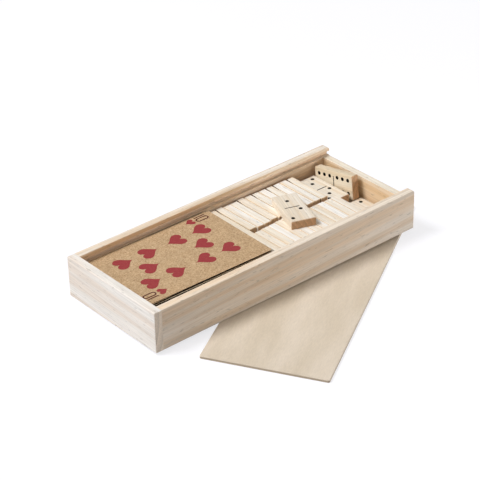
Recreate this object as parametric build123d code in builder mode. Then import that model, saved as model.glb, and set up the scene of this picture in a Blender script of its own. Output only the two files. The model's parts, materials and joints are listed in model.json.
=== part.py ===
"""Games compendium box: a pine tray with a sliding lid, holding a pack of cards and 28 dominoes.

Units are millimetres and +Z is up. The lid is drawn off and lies flat on the ground. The tray
stands across it, so it leans: it rests on the lid's long edge and on its own back left corner.
Everything in the tray is placed from the plane of the tray's underside.
"""

import os
from math import asin, cos, degrees, radians, sin, tan

from build123d import *

os.makedirs("parts", exist_ok=True)

# --- cards ------------------------------------------------------------------------------------
card_length = 88.0
card_width = 57.0
card_thickness = 0.30
card_air = 0.02  # between neighbouring cards
card_corner_round = 1.2
card_corner_step = 22.5  # degrees between the flats of the pack's corners
card_count = 54
card_play_left = 1.2  # from the pack to the left end wall
card_play_right = 2.7  # from the pack to the divider
card_play_back = 0.7
finger_room = 9.9  # in front of the pack
pack_turn = -0.2
top_card_turn = -1.2
top_card_by = (0.7, -0.3)
slipped_cards = range(48, 50)  # counted from the bottom: these stick out at the front
slipped_turn = -1.0
slipped_by = (0.2, -0.75)

# --- dominoes ---------------------------------------------------------------------------------
domino_length = 31.0
domino_width = 15.2
domino_thickness = 5.2
domino_chamfer = 0.3
half_middle = 7.5  # middle pip of each half, from the line
pip_radius = 1.22
pip_depth = 0.35
pip_sides = 12
pip_across = 4.1  # outer pips, from the middle pip
pip_along = 4.4
line_length = 9.0
line_width = 0.5
line_depth = 0.2

# the two rows stand on edge, named by their pips: far half, near half
front_row = "00 01 02 03 04 05 06 11 13 14 15 16".split()
back_row = "22 23 24 25 26 34 35 36 44 46 55".split()
row_start_gap = 0.3  # from the divider
front_row_gap = 0.1  # between neighbouring dominoes
back_row_gap = 0.22
row_room = 5.6  # left over by the two rows, across the tray
front_row_play = 1.0  # from the front wall
back_row_play = 1.7  # from the back wall
front_row_slips = (-0.1, 0.4, 0.4, 0.9, 1.3, 1.0, 0.5, -0.1, -0.35, -0.3, -0.6, -0.4)
back_row_slips = (1.0, 0.1, 0.15, 1.0, 0.3, 0.1, 0.0, -0.1, -0.2, -0.15, -0.5)

stack_gap = 1.3  # from the back row to the two dominoes lying at the back right
stack_play = 3.0  # from the back wall to those
corner_room = 5.5  # from those to the right end wall, besides the propped domino's thickness
flat_play_front = 1.45  # one domino lies at the front right
flat_play_right = 1.9
loose_along = 29.8  # the middle of the one lying across both rows, from where they start
loose_y = -2.3
loose_turn = -20.0

# one domino stands on its long edge, its front foot propped on the front right one
propped_gap = 3.6  # between its front foot and the right end wall
propped_turn = 2.4
propped_tip = 3.8  # towards the right end wall
propped_reach = 0.25  # how far its foot overlaps the domino it is propped on
propped_play = 0.1  # air under its front foot
propped_back_play = 0.3  # air under its back foot

# the print of these sits a little off the middle, across and along
off_print = {"33": (-0.4, 0.5), "45": (-0.4, -0.2), "12": (-0.9, 0.3), "66": (0.2, 0.0)}

# --- tray -------------------------------------------------------------------------------------
side_thickness = 5.0
end_thickness = 5.0
lip_thickness = 2.5  # wood left above the lid groove
lip_nose = 2.0  # rounded top corner at the open end
edge_round = 0.7  # sanded outer edges
inner_edge_round = 0.4

panel_thickness = 2.5
panel_rebate = 2.5  # how far the bottom panel reaches into the walls
panel_play = 0.1

divider_thickness = 4.0
divider_short = 1.2  # the divider stops this far from the back wall

# --- lid --------------------------------------------------------------------------------------
lid_thickness = 1.9
lid_corner_round = 1.0
lid_edge_chamfer = 0.3
lid_play_side = 0.4  # on each long edge
lid_play_end = 1.4
lid_play_height = 1.1
lid_over_cards = 0.24
groove_depth = 2.4

lid_angle = 31.3  # between the lid and the tray, seen from above
lid_offset_x = 18.7  # middle of the lid, from the middle of the tray
lid_offset_y = -36.7
lid_to_tray = 0.1  # air between the lid's long edge and the tray that stands on it

# --- derived sizes ----------------------------------------------------------------------------
card_pitch = card_thickness + card_air
pack_height = card_count * card_pitch - card_air
back_row_length = len(back_row) * (domino_thickness + back_row_gap) - back_row_gap
card_bay = card_play_left + card_length + card_play_right
domino_bay = (
    row_start_gap + back_row_length + stack_gap + domino_width + corner_room + domino_thickness
)
inner_length = card_bay + divider_thickness + domino_bay
inner_width = max(finger_room + card_width + card_play_back, 2 * domino_length + row_room)
tray_length = inner_length + 2 * end_thickness
wall_length = inner_length + end_thickness  # long walls, from the left end wall to the open end
tray_width = inner_width + 2 * side_thickness
floor = panel_thickness
row_top = floor + domino_width
groove_height = lid_thickness + lid_play_height
groove_floor = max(floor + pack_height, row_top) + lid_over_cards
tray_height = groove_floor + groove_height + lip_thickness
lid_length = tray_length - end_thickness + groove_depth - lid_play_end
lid_width = inner_width + 2 * (groove_depth - lid_play_side)

# places of the contents, from the middle of the tray
left_face, right_face = -inner_length / 2, inner_length / 2
front_face, back_face = -inner_width / 2, inner_width / 2
pack_x = left_face + card_play_left + card_length / 2
pack_y = back_face - card_play_back - card_width / 2
divider_left = left_face + card_bay
rows_left = divider_left + divider_thickness + row_start_gap
front_row_y = front_face + front_row_play + domino_length / 2
back_row_y = back_face - back_row_play - domino_length / 2
stack_x = rows_left + back_row_length + stack_gap + domino_width / 2
stack_y = back_face - stack_play - domino_length / 2
flat_x = right_face - flat_play_right - domino_width / 2
flat_y = front_face + flat_play_front + domino_length / 2
loose_x = rows_left + loose_along
propped_x = right_face - propped_gap - domino_thickness / 2

# --- where the lid and the tray lie -----------------------------------------------------------
along_x, along_y = cos(radians(lid_angle)), sin(radians(lid_angle))
across_x, across_y = along_y, -along_x  # square to the lid, away from the tray's back left corner
corner_x, corner_y = -tray_length / 2, tray_width / 2
corner_to_lid = (
    (lid_offset_x - corner_x) * across_x + (lid_offset_y - corner_y) * across_y - lid_width / 2
)
lean = asin((lid_thickness + lid_to_tray) / corner_to_lid)

tray_up = Vector(-sin(lean) * across_x, -sin(lean) * across_y, cos(lean))
tray_along = Vector(1, 0, tan(lean) * across_x).normalized()
tray_back = tray_up.cross(tray_along)
tray_lift = -(corner_x * tray_along.Z + corner_y * tray_back.Z)

# the frame's origin is on the ground, below the middle of everything
left_reach = tray_length / 2 * tray_along.X - tray_height * tray_up.X
right_reach = (
    lid_offset_x
    + (lid_length / 2 - lid_corner_round) * along_x
    + (lid_width / 2 - lid_corner_round) * along_y
    + lid_corner_round
)
tray_x = (left_reach - right_reach) / 2
tray_y = -lid_offset_y
tray = Plane(origin=(tray_x, tray_y, tray_lift), x_dir=tray_along, z_dir=tray_up)
section = Plane(tray.location * Plane.YZ.location)  # square to the tray's length

length_axis = Axis(tray.origin, tray.x_dir)
width_axis = Axis(tray.origin, tray.y_dir)
height_axis = Axis(tray.origin, tray.z_dir)


# --- long walls: grooved for the lid, rebated for the bottom panel -----------------------------
for name, side in (("front_wall", -1), ("back_wall", 1)):
    with BuildPart() as long_wall:
        with BuildSketch(section.offset(left_face)):
            with Locations((side * (inner_width + side_thickness) / 2, tray_height / 2)):
                Rectangle(side_thickness, tray_height)
        extrude(amount=wall_length)

        end_edges = long_wall.faces().sort_by(length_axis)[-1].edges()
        fillet(end_edges.filter_by(width_axis).sort_by(height_axis)[-1], radius=lip_nose)
        outer_face = long_wall.faces().filter_by(width_axis).sort_by(width_axis)[-1 if side > 0 else 0]
        fillet(outer_face.edges().sort_by(length_axis)[1:], radius=edge_round)
        top_edges = long_wall.edges().filter_by(length_axis).group_by(height_axis)[-1]
        fillet(top_edges.sort_by(width_axis)[0 if side > 0 else -1], radius=inner_edge_round)

        # the groove runs out at the open end, the rebate stops short of it
        with BuildSketch(section.offset(left_face)):
            with Locations((side * (inner_width + groove_depth) / 2, groove_floor + groove_height / 2)):
                Rectangle(groove_depth, groove_height)
        extrude(amount=wall_length, mode=Mode.SUBTRACT)
        with BuildSketch(section.offset(left_face)):
            with Locations((side * (inner_width + panel_rebate) / 2, panel_thickness / 2)):
                Rectangle(panel_rebate, panel_thickness)
        extrude(amount=inner_length + panel_rebate, mode=Mode.SUBTRACT)
    long_wall.part.label = name
    export_step(long_wall.part, f"parts/{name}.step")

# --- left end wall: covers the ends of the long walls and takes the lid's leading edge ---------
with BuildPart() as left_end_wall:
    with BuildSketch(tray):
        with Locations((-(inner_length + end_thickness) / 2, 0)):
            Rectangle(end_thickness, tray_width)
    extrude(amount=tray_height)
    outer_edges = left_end_wall.faces().sort_by(length_axis)[0].edges()
    fillet(outer_edges + left_end_wall.edges().filter_by(length_axis), radius=edge_round)
    with BuildSketch(tray.offset(groove_floor)):
        with Locations((-(inner_length + groove_depth) / 2, 0)):
            Rectangle(groove_depth, inner_width + 2 * groove_depth)
    extrude(amount=groove_height, mode=Mode.SUBTRACT)
    with BuildSketch(tray):
        with Locations((-(inner_length + panel_rebate) / 2, 0)):
            Rectangle(panel_rebate, inner_width + 2 * panel_rebate)
    extrude(amount=panel_thickness, mode=Mode.SUBTRACT)
left_end_wall.part.label = "left_end_wall"
export_step(left_end_wall.part, "parts/left_end_wall.step")

# --- right end wall: low, so that the lid slides in over it ------------------------------------
with BuildPart() as right_end_wall:
    with BuildSketch(tray):
        with Locations(((inner_length + end_thickness) / 2, 0)):
            Rectangle(end_thickness, inner_width)
    extrude(amount=groove_floor)
    outer_edges = right_end_wall.faces().sort_by(length_axis)[-1].edges().filter_by(width_axis)
    fillet(outer_edges, radius=edge_round)
    with BuildSketch(tray):
        with Locations(((inner_length + panel_rebate) / 2, 0)):
            Rectangle(panel_rebate, inner_width)
    extrude(amount=panel_thickness, mode=Mode.SUBTRACT)
right_end_wall.part.label = "right_end_wall"
export_step(right_end_wall.part, "parts/right_end_wall.step")

# --- bottom panel and divider -----------------------------------------------------------------
with BuildPart() as bottom_panel:
    with BuildSketch(tray):
        Rectangle(
            inner_length + 2 * (panel_rebate - panel_play), inner_width + 2 * (panel_rebate - panel_play)
        )
    extrude(amount=panel_thickness)
bottom_panel.part.label = "bottom_panel"
export_step(bottom_panel.part, "parts/bottom_panel.step")

with BuildPart() as divider:
    with BuildSketch(tray.offset(floor)):
        with Locations((divider_left + divider_thickness / 2, -divider_short / 2)):
            Rectangle(divider_thickness, inner_width - divider_short)
    extrude(amount=row_top - floor)
    top_edges = divider.faces().sort_by(height_axis)[-1].edges().filter_by(width_axis)
    fillet(top_edges, radius=inner_edge_round)
divider.part.label = "divider"
export_step(divider.part, "parts/divider.step")

# --- lid, flat on the ground ------------------------------------------------------------------
with BuildPart() as lid:
    with BuildSketch():
        with Locations(Location((tray_x + lid_offset_x, tray_y + lid_offset_y, 0), (0, 0, lid_angle))):
            RectangleRounded(lid_length, lid_width, lid_corner_round)
    extrude(amount=lid_thickness)
    chamfer(lid.faces().filter_by(Axis.Z).edges(), length=lid_edge_chamfer)
lid.part.label = "lid"
export_step(lid.part, "parts/lid.step")


# --- cards ------------------------------------------------------------------------------------
def card_plane(place):
    """The plane of a card's underside, counted from the bottom of the pack."""
    x, y, turn = pack_x, pack_y, pack_turn
    if place in slipped_cards:
        x, y, turn = pack_x + slipped_by[0], pack_y + slipped_by[1], slipped_turn
    elif place == card_count - 1:
        x, y, turn = pack_x + top_card_by[0], pack_y + top_card_by[1], top_card_turn
    return Plane(tray.location * Location((x, y, floor + place * card_pitch), (0, 0, turn)))


# the pack's cards have three flats round each corner, which touch the same arc as the top card's
step = radians(card_corner_step)
corner_flat = card_corner_round * (1 - tan(step))
corner_trim = card_corner_round * (tan(step) - tan(step / 2))

with BuildPart() as card_deck:
    with BuildSketch(*[card_plane(place) for place in range(card_count - 1)]) as outlines:
        Rectangle(card_length, card_width)
        chamfer(outlines.vertices(), length=corner_flat)
        chamfer(outlines.vertices(), length=corner_trim)
    extrude(amount=card_thickness)
card_deck.part.label = "card_deck"
export_step(card_deck.part, "parts/card_deck.step")

with BuildPart() as top_card:
    with BuildSketch(card_plane(card_count - 1)):
        RectangleRounded(card_length, card_width, card_corner_round)
    extrude(amount=card_thickness)
top_card.part.label = "top_card"
export_step(top_card.part, "parts/top_card.step")


# --- dominoes ---------------------------------------------------------------------------------
def pips(count):
    """Where the pips of one half are, from the half's middle."""
    slant = [(-pip_across, -pip_along), (pip_across, pip_along)]
    corners = slant + [(-pip_across, pip_along), (pip_across, -pip_along)]
    sides = [(-pip_across, 0), (pip_across, 0)]
    middle = [(0, 0)]
    layouts = ([], middle, slant, slant + middle, corners, corners + middle, corners + sides)
    return layouts[int(count)]


def on_edge(x, y):
    """A domino standing on its long edge, its face to the right."""
    return Pos(x, y, floor + domino_width / 2) * Rot(Y=90)


def lying(x, y, height, turn=0):
    """A domino lying face up, its underside at this height above the tray's underside."""
    return Pos(x, y, height + domino_thickness / 2) * Rot(Z=turn)


seats = {}
for place, (pair, slip) in enumerate(zip(front_row, front_row_slips)):
    x = rows_left + place * (domino_thickness + front_row_gap) + domino_thickness / 2
    seats[pair] = on_edge(x, front_row_y + slip)
for place, (pair, slip) in enumerate(zip(back_row, back_row_slips)):
    x = rows_left + place * (domino_thickness + back_row_gap) + domino_thickness / 2
    seats[pair] = on_edge(x, back_row_y + slip)
seats["56"] = lying(stack_x, stack_y, floor)
seats["33"] = lying(stack_x, stack_y, floor + domino_thickness)
seats["45"] = lying(flat_x, flat_y, floor)
seats["12"] = lying(loose_x, loose_y, row_top, loose_turn)

foot_y = flat_y + domino_length / 2 - propped_reach
foot_height = floor + domino_thickness * (1 + sin(radians(propped_tip)) / 2) + propped_play
propped_drop = degrees(asin((domino_thickness - propped_back_play) / domino_length))
seats["66"] = (
    Pos(propped_x, foot_y, foot_height)
    * Rot(Z=propped_turn)
    * Rot(Y=propped_tip)
    * Rot(X=-propped_drop)
    * Pos(0, domino_length / 2, domino_width / 2)
    * Rot(Y=-90)
)

# a pip is a shallow cone with flat sides, pressed into the face
with BuildPart() as pip:
    with BuildSketch() as rim:
        RegularPolygon(pip_radius, pip_sides)
    loft([rim.sketch, Vertex(0, 0, -pip_depth)])

for (far, near), seat in seats.items():
    off_x, off_y = off_print.get(far + near, (0, 0))
    spots = [(x, y + half_middle) for x, y in pips(far)] + [(x, y - half_middle) for x, y in pips(near)]
    with BuildPart(Plane(tray.location * seat)) as domino:
        Box(domino_width, domino_length, domino_thickness)
        chamfer(domino.edges(), length=domino_chamfer)
        with Locations((off_x, off_y, domino_thickness / 2)):
            Box(line_length, line_width, 2 * line_depth, mode=Mode.SUBTRACT)
            if spots:
                with Locations(*spots):
                    add(pip.part, mode=Mode.SUBTRACT)
    name = f"domino_{far}_{near}"
    domino.part.label = name
    export_step(domino.part, f"parts/{name}.step")
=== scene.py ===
"""A pine games box with its lid drawn off, a pack of cards and a set of dominoes: its looks.

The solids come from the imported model. This script dresses them in wood, board and ink, adds the
printed pips, lines and hearts, and sets up the floor, the lamps and the camera. Sizes are in
millimetres unless a name says otherwise, and Blender's own units are metres.
"""

from __future__ import annotations

import json
import logging
import math
from abc import ABC, abstractmethod
from dataclasses import dataclass, field
from enum import Enum
from typing import Any, ClassVar, Iterable, Sequence

import bmesh
import bpy
from bpy.types import Material, Mesh, Node, NodeSocket, NodeTree, Object
from mathutils import Euler, Matrix, Vector

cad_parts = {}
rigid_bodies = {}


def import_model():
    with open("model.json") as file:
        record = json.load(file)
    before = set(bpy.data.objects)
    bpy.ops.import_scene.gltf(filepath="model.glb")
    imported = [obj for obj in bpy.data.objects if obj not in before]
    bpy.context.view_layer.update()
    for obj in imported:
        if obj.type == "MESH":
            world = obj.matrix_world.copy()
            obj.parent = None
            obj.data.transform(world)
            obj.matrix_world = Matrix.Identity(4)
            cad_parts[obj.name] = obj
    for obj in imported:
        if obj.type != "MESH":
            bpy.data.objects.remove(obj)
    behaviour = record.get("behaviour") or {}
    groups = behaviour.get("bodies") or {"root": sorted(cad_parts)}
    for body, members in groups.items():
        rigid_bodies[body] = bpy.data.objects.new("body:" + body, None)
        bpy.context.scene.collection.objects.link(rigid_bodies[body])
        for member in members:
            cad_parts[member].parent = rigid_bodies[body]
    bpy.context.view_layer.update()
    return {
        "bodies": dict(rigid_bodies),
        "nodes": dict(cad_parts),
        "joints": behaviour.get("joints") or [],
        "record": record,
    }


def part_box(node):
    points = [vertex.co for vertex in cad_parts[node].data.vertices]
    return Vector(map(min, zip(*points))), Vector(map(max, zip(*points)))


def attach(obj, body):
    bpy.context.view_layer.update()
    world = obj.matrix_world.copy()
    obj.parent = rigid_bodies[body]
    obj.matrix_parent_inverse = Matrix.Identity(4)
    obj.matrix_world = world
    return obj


MM = 0.001
WHITE = "FFFFFF"
RANGE = ("Value", "From Min", "From Max", "To Min", "To Max")  # what a row of a remapping holds
log = logging.getLogger("games_box")


class Seat(Enum):
    """How a domino sits in the tray."""

    ON_EDGE = "on edge"
    LYING = "lying"
    LOOSE = "loose"
    PROPPED = "propped"


def linear(hex_colour: str) -> tuple[float, float, float, float]:
    """Turns an sRGB colour into the linear one that shaders take.

    Args:
        hex_colour: six hex digits, such as "F1E6D6".

    Returns:
        The linear red, green, blue and an alpha of 1.
    """
    parts = [int(hex_colour[i : i + 2], 16) / 255 for i in (0, 2, 4)]
    red, green, blue = (c / 12.92 if c <= 0.04045 else ((c + 0.055) / 1.055) ** 2.4 for c in parts)
    return red, green, blue, 1.0


def stand(name: str, data: bpy.types.ID) -> Object:
    """Makes an object and links it to the scene.

    Args:
        name: the object's name.
        data: its mesh, lamp or camera.

    Returns:
        The new object.
    """
    made = bpy.data.objects.new(name, data)
    bpy.context.scene.collection.objects.link(made)
    return made


# --- node trees -------------------------------------------------------------------------------


def bare_tree(owner: bpy.types.ID) -> NodeTree:
    """Gives a material or a world its own empty node tree.

    Args:
        owner: the material or the world.

    Returns:
        The empty tree.
    """
    owner.use_nodes = True
    owner.node_tree.nodes.clear()
    return owner.node_tree


def add(tree: NodeTree, kind: str, inputs: dict | None = None, **settings: Any) -> Node:
    """Adds a node with its settings, and fills its inputs.

    Args:
        tree: the node tree that the node joins.
        kind: the node's type name.
        inputs: socket name or number to a value, or to the output socket that feeds it.
        **settings: attributes of the node itself.

    Returns:
        The new node.
    """
    node = tree.nodes.new(kind)
    for key, value in settings.items():
        setattr(node, key, value)
    for key, value in (inputs or {}).items():
        if isinstance(value, NodeSocket):
            tree.links.new(value, node.inputs[key])
        else:
            node.inputs[key].default_value = value
    return node


def surface_coords(
    tree: NodeTree, frame: Matrix, scale: tuple[float, ...] = (MM, MM, MM)
) -> tuple[NodeSocket, NodeSocket]:
    """Finds where a point of a piece is, in the directions of a frame.

    Args:
        tree: the material's tree.
        frame: the directions and their origin, in metres.
        scale: the size of one unit along each direction, in metres.

    Returns:
        The point's coordinates, and the surface's normal in the piece's own directions.
    """
    coords = add(tree, "ShaderNodeTexCoord")
    turn = frame.to_euler()
    inputs = {"Location": frame.translation, "Rotation": turn, "Scale": scale}
    inputs["Vector"] = coords.outputs["Object"]
    place = add(tree, "ShaderNodeMapping", inputs, vector_type="TEXTURE")
    return place.outputs["Vector"], coords.outputs["Normal"]


def grain(
    tree: NodeTree,
    point: NodeSocket,
    spots: float | tuple[float, float, float],
    detail: float,
    roughness: float = 0.5,
) -> NodeSocket:
    """Noise whose spots are round, or drawn out along some directions.

    Args:
        tree: the material's tree.
        point: coordinates of the surface.
        spots: how many to a unit, one number or one for each direction.
        detail: how many finer layers it has.
        roughness: how strong the finer layers are.

    Returns:
        A socket that wanders between 0 and 1.
    """
    inputs = {"Vector": point, "Scale": spots, "Detail": detail, "Roughness": roughness}
    if isinstance(spots, tuple):
        packed = add(tree, "ShaderNodeVectorMath", {0: point, 1: spots}, operation="MULTIPLY")
        inputs |= {"Vector": packed.outputs[0], "Scale": 1.0}
    return add(tree, "ShaderNodeTexNoise", inputs).outputs["Fac"]


def facing(
    tree: NodeTree, normal: NodeSocket, way: Vector, none: float, full: float, both: bool = True
) -> NodeSocket:
    """Picks out the sides of a piece that face one way.

    Args:
        tree: the material's tree.
        normal: the surface's normal.
        way: the direction, of length 1.
        none: cosine of the angle at which a side no longer counts.
        full: cosine at which it counts in full.
        both: whether the opposite side counts too.

    Returns:
        A socket that is 1 on those sides and 0 on the others.
    """
    inputs = {0: normal, 1: tuple(way)}
    cosine = add(tree, "ShaderNodeVectorMath", inputs, operation="DOT_PRODUCT").outputs["Value"]
    if both:
        cosine = add(tree, "ShaderNodeMath", {0: cosine}, operation="ABSOLUTE").outputs[0]
    inputs = {"Value": cosine, "From Min": none, "From Max": full}
    return add(tree, "ShaderNodeMapRange", inputs).outputs["Result"]


# --- finishes ---------------------------------------------------------------------------------


@dataclass(frozen=True)
class Finish(ABC):
    """A surface finish, made as one node material."""

    relief: ClassVar[tuple[float, float]]  # strength of the bumps, and their depth
    name: str

    @abstractmethod
    def surface(self, tree: NodeTree) -> tuple[dict[str, Any], NodeSocket]:
        """Builds the finish's nodes.

        Args:
            tree: the material's tree.

        Returns:
            The shader's inputs, and the pattern that stands up in low relief.
        """

    def make(self) -> Material:
        """Makes the material.

        Returns:
            The new material.
        """
        material = bpy.data.materials.new(self.name)
        tree = bare_tree(material)
        inputs, pattern = self.surface(tree)
        strength, depth = self.relief
        raised = {"Height": pattern, "Strength": strength, "Distance": depth * MM}
        normal = add(tree, "ShaderNodeBump", raised).outputs["Normal"]
        inputs = {"IOR": 1.5, "Normal": normal, **inputs}
        shader = add(tree, "ShaderNodeBsdfPrincipled", inputs)
        add(tree, "ShaderNodeOutputMaterial", {"Surface": shader.outputs["BSDF"]})
        return material


@dataclass(frozen=True)
class SandedPine(Finish):
    """Bare pine, planed and sanded.

    Growth rings cut lengthwise give soft tan streaks, fibres give fine lines along the board, resin
    canals give short dark dashes, and cut ends are darker because they take in light. Painted shade
    tints one side warmer and the side across from it darker, darkens the narrow flats along the
    edges, and lays a dark wedge along a seam as the painted shadow of an open seam.
    """

    relief: ClassVar[tuple[float, float]] = (0.35, 0.06)
    frame: Matrix = field(default_factory=Matrix)  # x along the fibres, z out of the broad face
    pale: str = "F4E6D4"
    band: str = "D6B994"
    blush: str = "EBDCCB"  # tint of the broad soft bands
    end: str = "E4D4C2"
    warm_shade: str = "FFF0DE"  # warmer tint of one side: painted shade
    warm_shade_side: int = 0  # 1 on the side that the frame's z points to, -1 on the other
    outer_shade: str = WHITE  # darker tint of the side across from the warm one: painted shade
    edge: str = WHITE  # darker tint of the narrow flats along the edges: painted shade
    seam_shadow: str = "5A3A1C"  # dark tint along a seam to the next piece: the painted shadow of an open seam
    shadowed_seams: tuple[float, float] = (0.0, 0.0)  # how strong the painted seam shadow is, at the frame's -z and +z face
    seam_shadow_width: float = 0.5  # of this piece's half of a painted seam shadow, where it is widest
    seam_shadow_start: float = 0.55  # where it begins, as a share of half the length
    half_length: float = 15.5
    half_thickness: float = 2.6
    stretch: float = 10.0  # of the whole pattern, along the fibres
    ring: float = 4.2  # from one year's dark line to the next
    ring_share: float = 0.7
    pith: tuple[float, float] = (14.0, -46.0)  # the tree's middle, from the middle of the board
    drift: float = 2.0  # degrees between the fibres and the board
    seed: float = 0.0
    seed_step: float = 31.0  # along the trunk, from one cut to the next

    def surface(self, tree: NodeTree) -> tuple[dict[str, Any], NodeSocket]:
        """Builds rings, fibres, dashes and end grain.

        Args:
            tree: the material's tree.

        Returns:
            The shader's inputs, and the pattern that stands up in low relief.
        """
        board = self.frame @ Matrix.Rotation(math.radians(self.drift), 4, "Z")
        fibre_way, flat_way, face_way = (way.copy() for way in board.to_3x3().col)
        board.translation = board @ (Vector((self.seed * self.seed_step, *self.pith)) * MM)
        # across the fibres one unit is a millimetre
        point, normal = surface_coords(tree, board, (self.stretch * MM, MM, MM))
        rings = add(
            tree,
            "ShaderNodeTexWave",
            {
                "Vector": point,
                "Scale": math.tau / 20 / self.ring,  # the node repeats every tau / 20 units
                "Distortion": 5.0,
                "Detail": 3.0,
                "Detail Scale": 0.12,
                "Detail Roughness": 0.55,
                "Phase Offset": self.seed,
            },
            wave_type="RINGS",
            rings_direction="X",
            wave_profile="SAW",
        ).outputs["Fac"]
        # real fibres are 0.03 mm wide; drawn 0.7 mm wide so that they show
        fibres = grain(tree, point, (0.35, 1.4, 1.4), 3.0, 0.6)
        clouds = grain(tree, point, 0.12, 2.0)
        dashes = grain(tree, point, (2.2, 1.1, 1.1), 1.0)
        bands = grain(tree, point, (0.05, 0.16, 0.16), 2.0)
        late, soft, cloudy, fibre_shade, dash_shade, arcs, rough = (
            add(
                tree, "ShaderNodeMapRange", dict(zip(RANGE, row)), interpolation_type=ramp
            ).outputs["Result"]
            for ramp, *row in (
                ("SMOOTHSTEP", rings, 0.15, 1.0, 0.0, self.ring_share),
                ("SMOOTHSTEP", bands, 0.42, 0.6, 0.0, 1.0),
                ("LINEAR", clouds, 0.35, 0.7, 0.25, 1.0),
                ("LINEAR", fibres, 0.3, 0.7, 0.85, 1.06),
                ("LINEAR", dashes, 0.65, 0.75, 1.0, 0.72),
                ("LINEAR", rings, 0.0, 1.0, 1.05, 0.8),  # a cut end shows them as darker arcs
                ("LINEAR", fibres, 0.0, 1.0, 0.56, 0.74),
            )
        )
        ring_factor, shade = (
            add(tree, "ShaderNodeMath", {0: one, 1: other}, operation="MULTIPLY").outputs[0]
            for one, other in ((late, cloudy), (fibre_shade, dash_shade))
        )
        # painted shade: one side tinted warmer, the side across from it darker
        warm_shade_way = face_way * self.warm_shade_side
        warm_shade_face = facing(tree, normal, warm_shade_way, 0.6, 0.8, both=False)
        outer_shade_face = facing(tree, normal, -warm_shade_way, 0.6, 0.8, both=False)
        flats = self.flats(tree, normal, flat_way)
        layered = []
        for ground, coats in (
            (self.pale, [(ring_factor, self.band)]),
            (WHITE, [(soft, self.blush)]),
            (WHITE, [(outer_shade_face, self.outer_shade), (warm_shade_face, self.warm_shade)]),
            # painted shade on the narrow flats along the edges, and a painted shadow along an open
            # seam
            (WHITE, [(flats, self.edge), (self.seam_shadow_mask(tree), self.seam_shadow)]),
        ):
            shown: Any = linear(ground)
            for factor, coat in coats:
                inputs = {"Factor": factor, 6: shown, 7: linear(coat)}
                shown = add(tree, "ShaderNodeMix", inputs, data_type="RGBA").outputs[2]
            layered.append(shown)
        year, blushed, side_shades, edge_and_seam_shades = layered
        banded = add(tree, "ShaderNodeVectorMath", {0: year, 1: blushed}, operation="MULTIPLY")
        dark_end = {0: linear(self.end)[:3], "Scale": arcs}
        arced = add(tree, "ShaderNodeVectorMath", dark_end, operation="SCALE")
        cut = facing(tree, normal, fibre_way, 0.6, 0.75)
        inputs = {"Factor": cut, 6: banded.outputs[0], 7: arced.outputs[0]}
        colour = add(tree, "ShaderNodeMix", inputs, data_type="RGBA").outputs[2]
        for tint in (side_shades, edge_and_seam_shades):
            tinted = add(tree, "ShaderNodeVectorMath", {0: colour, 1: tint}, operation="MULTIPLY")
            colour = tinted.outputs[0]
        shaded = add(tree, "ShaderNodeVectorMath", {0: colour, "Scale": shade}, operation="SCALE")
        inputs = {"Base Color": shaded.outputs[0], "Roughness": rough, "Specular IOR Level": 0.25}
        return inputs, fibres

    def flats(self, tree: NodeTree, normal: NodeSocket, flat_way: Vector) -> NodeSocket:
        """Picks out the narrow flats along the edges.

        Args:
            tree: the material's tree.
            normal: the surface's normal.
            flat_way: out of the narrow side; a flat faces halfway between it and a broad face.

        Returns:
            A socket that is 1 on the flats and 0 elsewhere.
        """
        inputs = {0: normal, 1: tuple(flat_way)}
        slant = add(tree, "ShaderNodeVectorMath", inputs, operation="DOT_PRODUCT").outputs["Value"]
        size = add(tree, "ShaderNodeMath", {0: slant}, operation="ABSOLUTE").outputs[0]
        halfway = {0: size, 1: math.sqrt(0.5), 2: 0.2}
        return add(tree, "ShaderNodeMath", halfway, operation="COMPARE").outputs[0]

    def seam_shadow_mask(self, tree: NodeTree) -> NodeSocket:
        """Works out where the painted shadow of an open seam beside a piece falls, wider towards
        its +x end.

        Args:
            tree: the material's tree.

        Returns:
            A socket that is 0 where no seam shadow is painted and 1 where it is painted in full.
        """
        point, _ = surface_coords(tree, self.frame)
        split = add(tree, "ShaderNodeSeparateXYZ", {"Vector": point})
        start = self.seam_shadow_start * self.half_length
        inputs = {"Value": split.outputs["X"], "From Min": start, "From Max": self.half_length}
        far = add(tree, "ShaderNodeMapRange", inputs).outputs["Result"]
        # the painted seam shadow widens from nothing to seam_shadow_width over that stretch
        inputs = {0: far, 1: -self.seam_shadow_width, 2: self.half_thickness}
        wedge = add(tree, "ShaderNodeMath", inputs, operation="MULTIPLY_ADD").outputs[0]
        seam_shade: Any = 0.0
        for way, share in zip((-1.0, 1.0), self.shadowed_seams):
            inputs = {0: split.outputs["Z"], 1: way}
            height = add(tree, "ShaderNodeMath", inputs, operation="MULTIPLY").outputs[0]
            inputs = {0: height, 1: wedge}
            inside = add(tree, "ShaderNodeMath", inputs, operation="GREATER_THAN").outputs[0]
            inputs = {0: inside, 1: share, 2: seam_shade}
            seam_shade = add(tree, "ShaderNodeMath", inputs, operation="MULTIPLY_ADD").outputs[0]
        return seam_shade


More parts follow.
